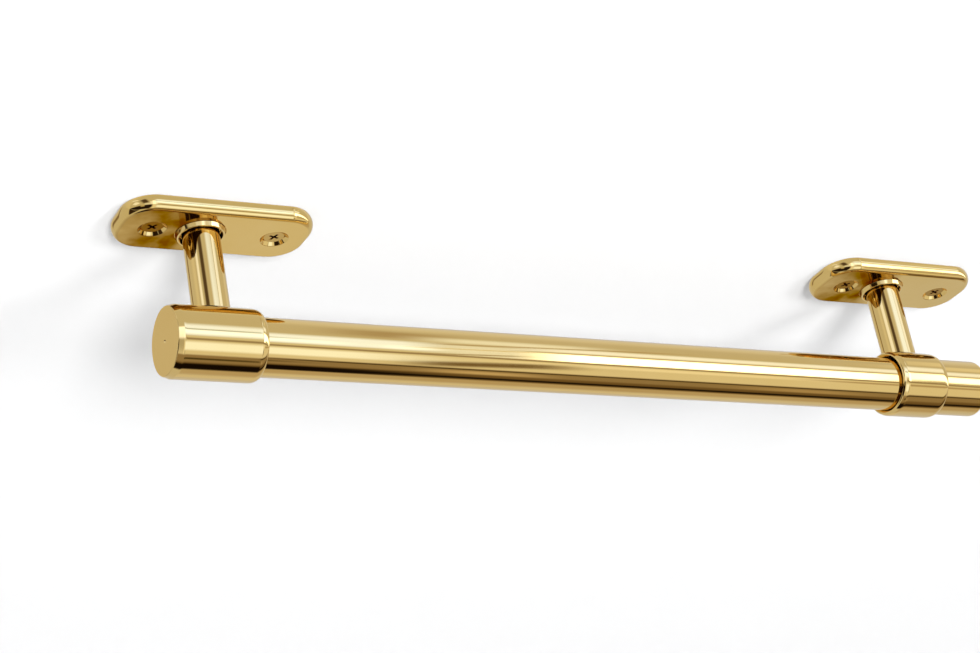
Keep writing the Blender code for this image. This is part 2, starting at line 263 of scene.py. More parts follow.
def piece(name, patches, material, node, slot):
    """Joins patches into one closed mesh, turns its faces outwards and lets it stand for a CAD node."""
    points, faces, count = [], [], 0
    for patch_points, patch_faces in patches:
        points.append(patch_points)
        faces.append(patch_faces + count)
        count += len(patch_points)
    mesh = bpy.data.meshes.new(name)
    mesh.from_pydata(np.concatenate(points), [], np.concatenate(faces))
    work = bmesh.new()
    work.from_mesh(mesh)
    bmesh.ops.remove_doubles(work, verts=work.verts, dist=WELD)
    bmesh.ops.recalc_face_normals(work, faces=work.faces)
    work.to_mesh(mesh)
    work.free()
    mesh.shade_smooth()
    mesh.set_sharp_from_angle(angle=SHARP_ANGLE)
    mesh.materials.append(material)
    obj = bpy.data.objects.new(name, mesh)
    bpy.context.scene.collection.objects.link(obj)
    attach(obj, frame["nodes"][node]["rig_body"])
    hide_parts(node)
    return obj


def places(mesh):
    """Places of a mesh's points."""
    flat = np.zeros(len(mesh.vertices) * 3, np.float32)
    mesh.vertices.foreach_get("co", flat)
    return flat.reshape(-1, 3)


def point_layer(mesh, name, values):
    """Gives a mesh's points an attribute that materials read."""
    mesh.attributes.new(name, "FLOAT", "POINT").data.foreach_set("value", values.astype(np.float32))


def lathe_lines(obj, axis, origin):
    """Attribute for turning lines: distance along the axis plus distance from it, so it steps along any profile."""
    place = places(obj.data) - np.asarray(origin, np.float32)
    along = "xyz".index(axis)
    off = np.linalg.norm(np.delete(place, along, 1), axis=1)
    point_layer(obj.data, "lathe", place[:, along] + off)
    return obj


# Materials


def linear(code):
    """sRGB hex to a linear colour."""
    parts = np.array([int(code[i : i + 2], 16) for i in (1, 3, 5)]) / 255
    return (*np.where(parts <= 0.04045, parts / 12.92, ((parts + 0.055) / 1.055) ** 2.4), 1.0)


def per_mm(size):
    """Texture scale that gives features of about this many millimetres."""
    return 1 / (size * MM)


def add(tree, kind, inputs=None, **settings):
    """Adds a node with its settings; inputs are values, or sockets to link."""
    made = tree.nodes.new(kind)
    for key, value in settings.items():
        setattr(made, key, value)
    for key, value in (inputs or {}).items():
        if isinstance(value, bpy.types.NodeSocket):
            tree.links.new(value, made.inputs[key])
        else:
            made.inputs[key].default_value = value
    return made


def shader_of(name):
    """New material with its node tree and its Principled shader."""
    material = bpy.data.materials.new(name)
    material.use_nodes = True
    return material, material.node_tree, material.node_tree.nodes["Principled BSDF"]


def brass(name, light, deep, rough, wave_um, line_mm, line_um, along_rod=False, dark=None):
    """Brass with two close tones, uneven gloss, a hand-polished waviness and polishing lines.

    Real lines would be too fine to show, so these are drawn some ten times as wide.  dark, if any, is painted
    shade, with dirt on screws, that darkens the colour and the reflection's tint: the maker of its share, and its
    tint.
    """
    material, tree, shader = shader_of(name)
    place = add(tree, "ShaderNodeTexCoord").outputs["Object"]
    tone = add(tree, "ShaderNodeTexNoise", {"Vector": place, "Scale": per_mm(TONE_SIZE), "Detail": 3.0})
    look = {"Factor": tone.outputs["Fac"], "A": linear(deep), "B": linear(light)}
    shown = add(tree, "ShaderNodeMix", look, data_type="RGBA").outputs["Result"]
    # Painted shade, on screws with dirt too: darkens the colour and tints the reflection darker
    if dark:
        share, tint = dark
        look = {"Factor": share(tree, place), "A": (1.0, 1.0, 1.0, 1.0), "B": linear(tint)}
        darkening = add(tree, "ShaderNodeMix", look, data_type="RGBA").outputs["Result"]
        look = {"Factor": 1.0, "A": shown, "B": darkening}
        shown = add(tree, "ShaderNodeMix", look, data_type="RGBA", blend_type="MULTIPLY").outputs["Result"]
        tree.links.new(darkening, shader.inputs["Specular Tint"])
    tree.links.new(shown, shader.inputs["Base Color"])
    shader.inputs["Metallic"].default_value = 1.0
    if along_rod:
        stretch = add(tree, "ShaderNodeMapping", {"Vector": place, "Scale": LINE_STRETCH})
        look = {"Vector": stretch.outputs["Vector"], "Scale": per_mm(line_mm), "Detail": 2.0}
        lines = add(tree, "ShaderNodeTexNoise", look)
    else:
        lathe = add(tree, "ShaderNodeAttribute", attribute_name="lathe")
        look = {"W": lathe.outputs["Fac"], "Scale": per_mm(line_mm), "Detail": 2.0}
        lines = add(tree, "ShaderNodeTexNoise", look, noise_dimensions="1D")
    cloud = add(tree, "ShaderNodeTexNoise", {"Vector": place, "Scale": per_mm(GLOSS_SIZE), "Detail": 4.0})
    both = add(tree, "ShaderNodeMath", {0: lines.outputs["Fac"], 1: cloud.outputs["Fac"]}, operation="MULTIPLY")
    (low, high), (smooth, dull) = GLOSS_NOISE, GLOSS_SPREAD
    look = {"From Min": low, "From Max": high, "To Min": rough * smooth, "To Max": rough * dull}
    gloss = add(tree, "ShaderNodeMapRange", {"Value": both.outputs["Value"], **look})
    tree.links.new(gloss.outputs["Result"], shader.inputs["Roughness"])
    wave = add(tree, "ShaderNodeTexNoise", {"Vector": place, "Scale": per_mm(WAVE_SIZE), "Detail": 1.0})
    below = {}
    for relief, depth_um in ((wave, wave_um), (lines, line_um)):
        look = {"Height": relief.outputs["Fac"], "Strength": 1.0, "Distance": depth_um * 0.001 * MM}
        below = {"Normal": add(tree, "ShaderNodeBump", {**look, **below}).outputs["Normal"]}
    tree.links.new(below["Normal"], shader.inputs["Normal"])
    return material


def screw_shade_dirt_share(tree, place):
    """Dark share of a screw: painted shade and dirt in its recess, and its head's darker face."""
    return add(tree, "ShaderNodeAttribute", attribute_name="shade_dirt_mark").outputs["Fac"]


def gap_painted_shade(low_z):
    """Painted shade on a stem: darker above the ring's lip, in the ring's gap."""

    def share(tree, place):
        axes = add(tree, "ShaderNodeSeparateXYZ", {"Vector": place})
        look = {"Value": axes.outputs["Z"], "From Min": low_z - 0.3 * MM, "From Max": low_z + 0.6 * MM}
        return add(tree, "ShaderNodeMapRange", look, interpolation_type="SMOOTHSTEP").outputs["Result"]

    return share


def face_painted_shade(stem_x, face_z, depth):
    """Painted shade on a plate: darker face to the left of its stem, most beside the stem and in two fans, uneven.
    """

    def share(tree, place):
        axes = add(tree, "ShaderNodeSeparateXYZ", {"Vector": place})
        left = add(tree, "ShaderNodeMath", {0: stem_x, 1: axes.outputs["X"]}, operation="SUBTRACT").outputs["Value"]
        turn = add(tree, "ShaderNodeMath", {0: axes.outputs["Y"], 1: left}, operation="ARCTAN2")
        spread = add(tree, "ShaderNodeMath", {0: turn.outputs["Value"], 1: SHADE_FANS}, operation="MULTIPLY")
        fans = add(tree, "ShaderNodeMath", {0: spread.outputs["Value"]}, operation="COSINE").outputs["Value"]
        look = {"Vector": place, "Scale": per_mm(SHADE_CLOUD_SIZE), "Detail": 2.0}
        cloud = add(tree, "ShaderNodeTexNoise", look).outputs["Fac"]
        whole = depth
        for value, start, end, low, high in (
            (left, -3 * MM, 8 * MM, 0.0, 1.0),   # none to the right of the stem
            (left, 36 * MM, 12 * MM, 0.5, 1.0),   # less towards the plate's end
            (fans, 1.0, -1.0, 0.75, 1.1),
            (axes.outputs["Z"], face_z + 0.6 * MM, face_z + 0.1 * MM, 0.0, 1.0),   # none on the rim
            (cloud, 0.35, 0.65, 0.75, 1.2),
        ):
            look = {"Value": value, "From Min": start, "From Max": end, "To Min": low, "To Max": high}
            factors = {0: whole, 1: add(tree, "ShaderNodeMapRange", look).outputs["Result"]}
            whole = add(tree, "ShaderNodeMath", factors, operation="MULTIPLY", use_clamp=True).outputs["Value"]
        return whole

    return share


def zinc_steel():
    """Zinc-plated steel, cold formed: a dull blue-grey with a fine patchy gloss."""
    material, tree, shader = shader_of("zinc_plated_steel")
    place = add(tree, "ShaderNodeTexCoord").outputs["Object"]
    patch = add(tree, "ShaderNodeTexNoise", {"Vector": place, "Scale": per_mm(STEEL_SIZE), "Detail": 4.0})
    look = {"Factor": patch.outputs["Fac"], "A": linear(STEEL_TONES[0]), "B": linear(STEEL_TONES[1])}
    mix = add(tree, "ShaderNodeMix", look, data_type="RGBA")
    tree.links.new(mix.outputs["Result"], shader.inputs["Base Color"])
    look = {"Value": patch.outputs["Fac"], "To Min": STEEL_GLOSS[0], "To Max": STEEL_GLOSS[1]}
    gloss = add(tree, "ShaderNodeMapRange", look)
    tree.links.new(gloss.outputs["Result"], shader.inputs["Roughness"])
    shader.inputs["Metallic"].default_value = 1.0
    return material


# Cast and turned brass, buffed to a mirror: clean reflections with soft edges, warm where brass mirrors brass
POLISHED_BRASS = brass("mirror_polished_brass", *BRASS_TONES, **MIRROR)
# Drawn brass tube, polished lengthwise: reflections run in long streaks along the rod
ROD_BRASS = brass(
    "drawn_polished_brass", *BRASS_TONES, rough=0.050, wave_um=2.0, line_mm=0.8, line_um=0.3, along_rod=True
)
# Bright turned brass screws: a little duller and deeper, with lathe rings round the head
# Painted shade, with dirt, in the screws' recesses, and a darker face on each head
SCREW_SHADE_AND_DIRT = (screw_shade_dirt_share, SCREW_SHADE_DIRT_TINT)
SCREW_BRASS = brass(
    "bright_turned_brass", *SCREW_TONES, rough=0.11, wave_um=2.0, line_mm=0.5, line_um=1.0, dark=SCREW_SHADE_AND_DIRT
)
STEEL = zinc_steel()


# Mount plates


def oblong(half, corner, inset, long_x, side_y):
    """Closed loop of a round-cornered oblong moved inwards: four quarter arcs joined by points on its sides."""
    quarter = np.linspace(0, math.pi / 2, CORNER_STEPS + 1)
    radius = corner - inset
    middle = half - corner

    def arc(sx, sy, start):
        turn = quarter + start
        return np.stack([sx * middle[0] + radius * np.cos(turn), sy * middle[1] + radius * np.sin(turn)], -1)

    def side(x, y):
        return np.stack(np.broadcast_arrays(x, y), -1).astype(float)

    return np.concatenate([
        arc(1, 1, 0), side(long_x, half[1] - inset),
        arc(-1, 1, math.pi / 2), side(inset - half[0], side_y),
        arc(-1, -1, math.pi), side(long_x[::-1], inset - half[1]),
        arc(1, -1, 1.5 * math.pi), side(half[0] - inset, side_y[::-1]),
    ])


def plate_rim(thickness):
    """Rows of (inset, height) round a plate's rim: a tight arc off the face, then a long crowned arc to the back."""
    lip = np.linspace(math.pi / 2, PLATE_LIP_TILT, EDGE_STEPS * 2)
    lip_height = PLATE_LIP * (1 - math.sin(PLATE_LIP_TILT))
    crown_inset = PLATE_CROWN * (1 - math.cos(PLATE_LIP_TILT))
    back_tilt = math.asin(math.sin(PLATE_LIP_TILT) - (thickness - lip_height) / PLATE_CROWN)
    crown = np.linspace(PLATE_LIP_TILT, back_tilt, EDGE_STEPS * 4)[1:]
    lip_inset = crown_inset + PLATE_LIP * (math.cos(PLATE_LIP_TILT) - np.cos(lip))
    crown_rise = lip_height + PLATE_CROWN * (math.sin(PLATE_LIP_TILT) - np.sin(crown))
    inset = np.concatenate([lip_inset, PLATE_CROWN * (1 - np.cos(crown))])
    rise = np.concatenate([PLATE_LIP * (1 - np.sin(lip)), crown_rise])
    return inset, rise - thickness


def mount_plate(side, stem_x):
    """Plate: a crowned rim, and a face in three cells, each a fan of quads from its border in to a hole's circle."""
    node = f"{side}_mount_plate"
    low, high = span(node)
    middle, half, thickness = (low + high)[:2] / 2, (high - low)[:2] / 2, (high - low)[2]
    face_z = low[2]
    hole_radius = SCREW_RADIUS + SEAT_GAP
    seat_radius = ring_radius(side) + SEAT_GAP
    stud_radius = STUD_RADIUS + SEAT_GAP
    holes = sorted(np.mean(span(f"{side}_{place}_wood_screw"), 0)[0] - middle[0] for place in ("outer", "inner"))
    centres = (holes[0], stem_x - middle[0], holes[1])
    cuts = (
        (centres[0] + COUNTERSINK_RADIUS + centres[1] - seat_radius) / 2,
        (centres[1] + seat_radius + centres[2] - COUNTERSINK_RADIUS) / 2,
    )
    end_x = half[0] - PLATE_CORNER
    long_x = np.concatenate([
        np.linspace(end_x, cuts[1], END_STEPS)[1:],
        np.linspace(cuts[1], cuts[0], MIDDLE_STEPS)[1:],
        np.linspace(cuts[0], -end_x, END_STEPS)[1:-1],
    ])
    side_y = (half[1] - PLATE_CORNER) * np.linspace(1, -1, END_STEPS)[1:-1]
    inset, height = plate_rim(thickness)
    loops = [oblong(half, PLATE_CORNER, i, long_x, side_y) for i in inset]
    rim = np.stack([np.column_stack([loop, np.full(len(loop), z)]) for loop, z in zip(loops, height)])

    def border(loop, cell):
        """Border of one cell of a face: its stretch of the oblong, closed by the straight cuts across the plate."""
        at = [np.flatnonzero(np.isclose(loop[:, 0], cut)) for cut in cuts]
        reach = loop[:, 1].max()
        steps = np.tan(np.linspace(-1, 1, CUT_STEPS)[1:-1]) / math.tan(1) * reach
        up = [np.column_stack([np.full(len(steps), cut), steps]) for cut in cuts]
        (top_a, low_a), (top_b, low_b) = at
        if cell == 0:
            return np.concatenate([loop[top_a : low_a + 1], up[0]])
        if cell == 1:
            return np.concatenate([loop[top_b : top_a + 1], up[0][::-1], loop[low_a : low_b + 1], up[1]])
        return np.concatenate([loop[low_b:], loop[: top_b + 1], up[1][::-1]])

    def cell_patch(cell, bore):
        """Rows from the face's border in to a hole, along its (radius, height) profile and out to the back."""
        front, back = border(loops[0], cell), border(loops[-1], cell)
        centre = np.array([centres[cell], 0.0])
        angle = np.arctan2(front[:, 1], front[:, 0] - centre[0])
        ring = centre + bore[0][0] * np.stack([np.cos(angle), np.sin(angle)], -1)
        shares = np.array([0, 0.02, 0.5, 0.98])[:, None, None]
        flat = front + shares * (ring - front)
        face = np.concatenate([flat, np.full(flat.shape[:2] + (1,), face_z)], -1)
        hole = about("z", (centre[0], 0, 0), bore[:, :1], angle[None, :], bore[:, 1:])
        rear = np.concatenate([back, np.zeros((len(back), 1))], -1)[None]
        if bore[-1][0] > 0:
            return [sheet_of(np.concatenate([face, hole, rear]))]
        pole = np.broadcast_to([centre[0], 0, 0], rear.shape)
        return [sheet_of(np.concatenate([face, hole])), sheet_of(np.concatenate([rear, pole]))]

    screw_hole = rounded(
        [
            (COUNTERSINK_RADIUS + 2 * COUNTERSINK_EDGE, face_z),
            (COUNTERSINK_RADIUS, face_z),
            (hole_radius, face_z + (COUNTERSINK_RADIUS - hole_radius) * math.tan(COUNTERSINK_TILT)),
            (hole_radius, 0.0),
        ],
        [0, COUNTERSINK_EDGE, 0, 0],
    )
    seat = rounded(
        [
            (seat_radius + 2 * EDGE_BREAK, face_z),
            (seat_radius, face_z),
            (seat_radius, face_z + POCKET_DEPTH),
            (stud_radius, face_z + POCKET_DEPTH),
            (stud_radius, -PLATE_WEB),
            (0.0, -PLATE_WEB),
        ],
        [0, 0.1 * MM, 0, 0, 0, 0],
    )
    patches = [sheet_of(rim)]
    for cell, bore in enumerate((screw_hole, seat, screw_hole)):
        patches += cell_patch(cell, bore)
    place = np.array([middle[0], middle[1], 0.0])
    # Buffed to a mirror; beside the stem its colour and reflection are darkened to brown, a painted shade
    darkening = (face_painted_shade(stem_x, face_z, PLATE_SHADE_DEPTH[side]), FACE_SHADE_TINT)
    finish = brass(
        f"buffed_brass_{side}_plate", *PLATE_TONES, rough=0.055, wave_um=4.0, line_mm=0.9, line_um=0.2, dark=darkening
    )
    moved = [(points + place, faces) for points, faces in patches]
    return lathe_lines(piece(f"{side}_plate", moved, finish, node, "polished_brass"), "x", place)


# Stems and rings


def ring_radius(side):
    """Outer radius of the ring round a stem's foot."""
    low, high = span(f"{side}_stem_ring")
    return (high[0] - low[0]) / 2


def stem_ring(side, stem_x):
    """Ring turned about the stem's axis: its wall leans in to a narrow rounded lip, and its bore opens there."""
    node = f"{side}_stem_ring"
    low, high = span(node)
    outer = ring_radius(side)
    inner = outer - RING_WIDTH
    face_z, lip_z = span(f"{side}_mount_plate")[0][2], low[2] + RING_WEAR
    profile = rounded(
        [
            (inner, high[2]),
            (outer, high[2]),
            (outer, face_z),
            (outer - RING_TAPER, lip_z),
            (inner + RING_MOUTH, lip_z),
            (inner, face_z),
            (inner, high[2]),
        ],
        [0, 0, 0.5 * MM, 0.3 * MM, 0.15 * MM, 0, 0],
    )
    ring = turned("z", (stem_x, 0, 0), profile, even_angles(STEM_STEPS))
    made = piece(f"{side}_ring", [ring], POLISHED_BRASS, node, "polished_brass")
    return lathe_lines(made, "z", (stem_x, 0, 0))


def stem(side, stem_x, collar_axis, collar_radius):
    """Post whose lower end is coped: at each angle it stops where the collar's round back comes up to meet it."""
    node = f"{side}_stem"
    low, high = span(node)
    radius, top = (high[0] - low[0]) / 2, high[2]
    angles = even_angles(STEM_STEPS)
    cope_radius = collar_radius + SEAT_GAP
    stud_radius, tie_radius = STUD_RADIUS + SEAT_GAP, TIE_RADIUS + SEAT_GAP
    tie_floor = collar_axis + collar_radius + TIE_REACH + SEAT_GAP
    stud_floor, shoulder = top - STUD_REACH - SEAT_GAP, top - STEM_SHOULDER

    def saddle(r):
        """Height of the cope at radius r: the circle of the collar seen along X."""
        return collar_axis + np.sqrt(cope_radius**2 - (r * np.sin(angles)) ** 2)

    head = rounded(
        [(0, stud_floor), (stud_radius, stud_floor), (stud_radius, top), (radius, top), (radius, shoulder)],
        [0, 0, 0, EDGE_BREAK, 0],
    )
    head_rows = about("z", (stem_x, 0, 0), head[:, :1], angles[None], head[:, 1:])
    shares = np.array([0.05, 0.5, 0.95, 1.0])[:, None]
    wall = about("z", (stem_x, 0, 0), radius, angles[None], shoulder + shares * (saddle(radius) - shoulder))
    rings = np.linspace(radius, tie_radius, 8)[1:]
    cope = np.stack([about("z", (stem_x, 0, 0), r, angles, saddle(r)) for r in rings])
    well = np.array([(tie_radius, tie_floor), (0, tie_floor)])
    well_rows = about("z", (stem_x, 0, 0), well[:, :1], angles[None], well[:, 1:])
    rows = np.concatenate([head_rows, wall, cope, well_rows])
    # Turned and polished bar: a mirror, with near-black painted shade where the ring stands round it
    darkening = (gap_painted_shade(span(f"{side}_stem_ring")[0][2] + RING_WEAR), GAP_SHADE_TINT)
    finish = brass(f"polished_brass_{side}_bar", *BRASS_TONES, **MIRROR, dark=darkening)
    made = piece(f"{side}_post", [sheet_of(rows)], finish, node, "polished_brass")
    return lathe_lines(made, "z", (stem_x, 0, 0))


# Collars, rod and cap


def drilled_tube(rows_x, radius, origin, holes):
    """Tube wall on a grid of x and angle, with a window cut round each hole and filled by rings.

    A ring row lies part of the way from the window's border to the hole's circle, measured on the flat
    plane that the drill looks at (x across, radius times sine of the angle up), and is bent back onto the tube.
    """
    angles = even_angles()
    grid = about("x", origin, radius, angles[None, :], rows_x[:, None])
    faces = quads(len(rows_x), ROUND_STEPS)
    keep = np.full(faces.shape[:2], True)
    patches, rims = [], []
    for x, angle, hole in holes:
        first, last = np.flatnonzero(np.abs(rows_x - x) <= DRILL_WINDOW)[[0, -1]]
        centre = round((angle + math.pi) / TURN * ROUND_STEPS)
        left, right = centre - DRILL_COLUMNS, centre + DRILL_COLUMNS
        keep[first:last, left:right] = False
        wide, high = right - left, last - first
        up, across = np.arange(first, last), np.arange(left, right)
        r = np.concatenate([np.full(wide, first), up, np.full(wide, last), up[::-1] + 1])
        c = np.concatenate([across, np.full(high, right), across[::-1] + 1, np.full(high, left)])
        flat = np.stack([rows_x[r] - x, radius * np.sin(angles[c] - angle)], -1)
        way = flat / np.linalg.norm(flat, axis=1, keepdims=True)
        shares = np.linspace(0, 1, 8)[:, None, None]
        ring = flat + shares * (way * hole - flat)
        bent = about("x", origin, radius, angle + np.arcsin(ring[..., 1] / radius), x + ring[..., 0])
        patches.append(sheet_of(bent))
        rims.append((bent[-1], way))
    return [(grid.reshape(-1, 3), faces[keep])] + patches, rims


def window_rows(start, end, xs):
    """X rows of a drilled wall: fine across the holes' windows, wider towards both ends."""
    low, high = min(xs) - DRILL_WINDOW, max(xs) + DRILL_WINDOW
    fine = np.linspace(low, high, WINDOW_STEPS)
    return np.concatenate([np.linspace(start, low, 5)[:-1], fine, np.linspace(high, end, 5)[1:]])


def collar(side, name, stem_x, direction):
    """Socket or sleeve: turned ends, drilled outer wall and bore, and the walls of the two holes between them."""
    node = f"{side}_rod_{name}"
    low, high = span(node)
    radius, axis = (high[1] - low[1]) / 2, (low[2] + high[2]) / 2
    origin = np.array([0.0, 0.0, axis])
    outboard, inboard = (low[0], high[0]) if direction < 0 else (high[0], low[0])
    set_low, set_high = span(f"{side}_set_screw")
    set_x, set_z = (set_low[0] + set_high[0]) / 2, (set_low[2] + set_high[2]) / 2
    set_angle = math.asin((set_z - axis) / radius)
    set_hole = (set_high[0] - set_low[0]) / 2 + SEAT_GAP
    tie_hole = TIE_RADIUS + SEAT_GAP
    tie_rise = radius - BORE_RADIUS - TIE_LIP + (math.sqrt(2) - 1) * SEAT_GAP
    xs = (set_x, stem_x)
    inwards = 1 if direction < 0 else -1
    lip = BORE_LIP * inwards
    angles = even_angles()
    stretch = np.array([1.0, COLLAR_SWEEP / COLLAR_EDGE])
    inboard_edge = outboard_edge = COLLAR_SWEEP * EDGE_RUN * inwards

    def end_profile(x, sign):
        """Long quarter of an ellipse off the outer wall, flat ring and lip at the bore, at one end of a collar."""
        corners = [
            (radius, x + sign * COLLAR_SWEEP * EDGE_RUN),
            (radius, x),
            (BORE_RADIUS + BORE_LIP, x),
            (BORE_RADIUS, x + sign * BORE_LIP),
        ]
        return rounded(corners / stretch, [0, COLLAR_EDGE, 0.15 * MM, 0], 2 * EDGE_STEPS) * stretch

    inner_end = end_profile(inboard, -inwards)
    patches = [turned("x", origin, inner_end, angles)]
    if name == "socket":
        floor = outboard + inwards * SOCKET_FLOOR
        outboard_edge = FACE_SWEEP * EDGE_RUN * inwards
        corners = [
            (0, outboard + inwards * SOCKET_DIMPLE),
            (SOCKET_DIMPLE, outboard),
            (radius - FACE_EDGE, outboard),
            (radius, outboard + inwards * FACE_SWEEP),
            (radius, outboard + outboard_edge),
        ]
        closed = rounded(corners, [0, 0.1 * MM, *FACE_SOFT, 0], 2 * EDGE_STEPS)
        patches.append(turned("x", origin, closed, angles))
        patches.append(turned("x", origin, brace(np.array([(BORE_RADIUS, floor), (0, floor)])), angles))
        bore_far = floor
    else:
        patches.append(turned("x", origin, end_profile(outboard, inwards), angles))
        bore_far = outboard + lip
    outer_rows = window_rows(*sorted((outboard + outboard_edge, inboard - inboard_edge)), xs)
    bore_rows = window_rows(*sorted((bore_far, inboard - lip)), xs)
    outer_holes = [(set_x, set_angle, set_hole), (stem_x, math.pi / 2, tie_hole)]
    outer, outer_rims = drilled_tube(outer_rows, radius, origin, outer_holes)
    bore_angle = math.asin(math.sin(set_angle) * radius / BORE_RADIUS)
    bore_holes = [(set_x, bore_angle, set_hole), (stem_x, math.pi / 2, tie_hole + tie_rise)]
    bore, bore_rims = drilled_tube(bore_rows, BORE_RADIUS, origin, bore_holes)
    set_wall = np.stack([outer_rims[0][0], bore_rims[0][0]])
    neck = np.column_stack([
        stem_x + tie_hole * outer_rims[1][1][:, 0],
        -tie_hole * outer_rims[1][1][:, 1],
        np.full(len(outer_rims[1][1]), axis + BORE_RADIUS + tie_rise),
    ])
    tie_wall = np.stack([outer_rims[1][0], neck, bore_rims[1][0]])
    patches += outer + bore + [sheet_of(set_wall), sheet_of(tie_wall)]
    made = piece(f"{side}_{name}", patches, POLISHED_BRASS, node, "polished_brass")
    lathe_lines(made, "x", origin)
    return axis, radius


def rod():
    """Tube turned about its own axis: outer wall, broken edges and bore."""
    low, high = span("rod_tube")
    radius = (high[1] - low[1]) / 2
    bore = radius - ROD_WALL
    origin = (0, 0, (low[2] + high[2]) / 2)
    profile = rounded(
        [(bore, high[0]), (radius, high[0]), (radius, low[0]), (bore, low[0]), (bore, high[0])],
        [0, EDGE_BREAK, EDGE_BREAK, 0, 0],
        4,
    )
    made = piece("rod", [turned("x", origin, profile, even_angles())], ROD_BRASS, "rod_tube", "rod_brass")
    return lathe_lines(made, "x", origin)


def cap():
    """Drawn cup turned about the rod's axis: even wall, rounded at its closed end."""
    low, high = span("end_cap")
    radius = (high[1] - low[1]) / 2
    bore = radius - CAP_WALL
    origin = (0, 0, (low[2] + high[2]) / 2)
    profile = rounded(
        [
            (0, high[0]),
            (radius, high[0]),
            (radius, low[0]),
            (bore, low[0]),
            (bore, high[0] - CAP_WALL),
            (0, high[0] - CAP_WALL),
        ],
        [0, CAP_ROUND, 0.15 * MM, 0.15 * MM, CAP_ROUND - CAP_WALL, 0],
    )
    made = piece("cap", [turned("x", origin, profile, even_angles())], POLISHED_BRASS, "end_cap", "polished_brass")
    return lathe_lines(made, "x", origin)


# Screws


def thread(radius, depth, pitch, start, end, angles, per_turn=10):
    """Rows of a helical thread: radius drops by a triangle wave of height minus turn that fades at both ends."""
    rows = np.linspace(start, end, max(2, int(abs(end - start) / pitch * per_turn)))
    phase = (rows[:, None] / pitch - angles[None, :] / TURN) % 1
    ridge = np.abs(2 * phase - 1)
    fade = np.clip(np.minimum(rows - rows[0], rows[-1] - rows) / pitch, 0, 1)[:, None]
    return radius - depth * fade * ridge, rows[:, None] + 0 * phase


def cross_recess(reach, width):
    """Angles and outline of a four-winged recess: each wing ends at its reach and is as wide as its blade."""
    tip, root = math.atan2(width / 2, reach), math.pi / 4
    eighth = np.concatenate([np.linspace(0, tip, 6)[:-1], np.linspace(tip, root, 9)])
    wing = np.concatenate([-eighth[:0:-1], eighth])[:-1]
    angles = (wing[None, :] + np.arange(4)[:, None] * math.pi / 2).ravel()
    local = np.tile(wing, 4)

    def outline(reach, width):
        side = width / 2 / np.maximum(np.abs(np.sin(local)), 1e-6)
        return np.minimum(reach / np.cos(local), side)

    return angles, outline


def hexagon():
    """Angles and outline of a hexagon socket: half its flats over the cosine within each sixth of a turn."""
    sixth = np.linspace(-math.pi / 6, math.pi / 6, 17)[:-1]
    angles = (sixth[None, :] + np.arange(6)[:, None] * math.pi / 3).ravel()
    local = np.tile(sixth, 6)
    return angles, lambda size: size / 2 / np.cos(local)


def countersunk_screw(name, node, x, head_rim, point, pitch, depth, recess, sink, turn, material, slot):
    """Screw with its head down: recess, flat head, cone, threaded shank and point, as one stack of rings."""
    low, high = span(node)
    head, base, tip = (high[0] - low[0]) / 2 - sink, low[2] + sink, high[2]
    shank = SCREW_RADIUS if point else TIE_RADIUS
    reach, width, deep = recess
    angles, wings = cross_recess(reach, width)
    around = np.ones_like(angles)
    cone_top = base + head_rim + head - shank
    rings = [(0 * around, (base + deep) * around)]
    rings += [(wings(reach * r, width * w), (base + deep * d) * around) for r, w, d in RECESS_STEPS]
    rings += [
        (wings(reach, width), (base + RECESS_BREAK[1]) * around),
        (wings(reach, width) + RECESS_BREAK[0], base * around),
    ]
    side = rounded(
        [
            (head * 0.8, base),
            (head, base),
            (head, base + max(head_rim, 0.05 * MM)),
            (shank, cone_top),
            (shank, cone_top + SCREW_NECK),
        ],
        [0, min(head_rim, 0.12 * MM), 0.05 * MM, 0.6 * MM, 0],
        4,
    )
    rings += [(r * around, h * around) for r, h in side]
    ridge_end = tip - point if point else tip - EDGE_BREAK
    radius, height = thread(shank, depth, pitch, cone_top + THREAD_FROM, ridge_end, angles)
    rings += list(zip(radius, height))
    if point:
        taper = np.linspace(1, 0, 13)[1:]
        core = shank - depth * 0.5
        rings += [(core * t * around, ridge_end + (tip - ridge_end) * (1 - t) * around) for t in taper]
    else:
        rings += [((shank - EDGE_BREAK) * around, tip * around), (0 * around, tip * around)]
    radii, heights = (np.stack(part) for part in zip(*rings))
    rows = about("z", (x, 0, 0), radii, angles[None, :] + turn, heights)
    made = piece(name, [sheet_of(rows)], material, node, slot)
    return lathe_lines(made, "z", (x, 0, 0))


def mark_screw_shade_dirt(obj, x, base, reach, deep, head_darkening):
    """Attribute of painted shade and dirt: one in a recess, off the head's face and near its axis, and a set
    darkening on the face.
    """
    place = places(obj.data)
    inside = (np.hypot(place[:, 0] - x, place[:, 1]) < reach * 1.1) & (place[:, 2] < base + deep * 1.01)
    point_layer(obj.data, "shade_dirt_mark", np.where(place[:, 2] < base + 0.03 * MM, head_darkening, inside))


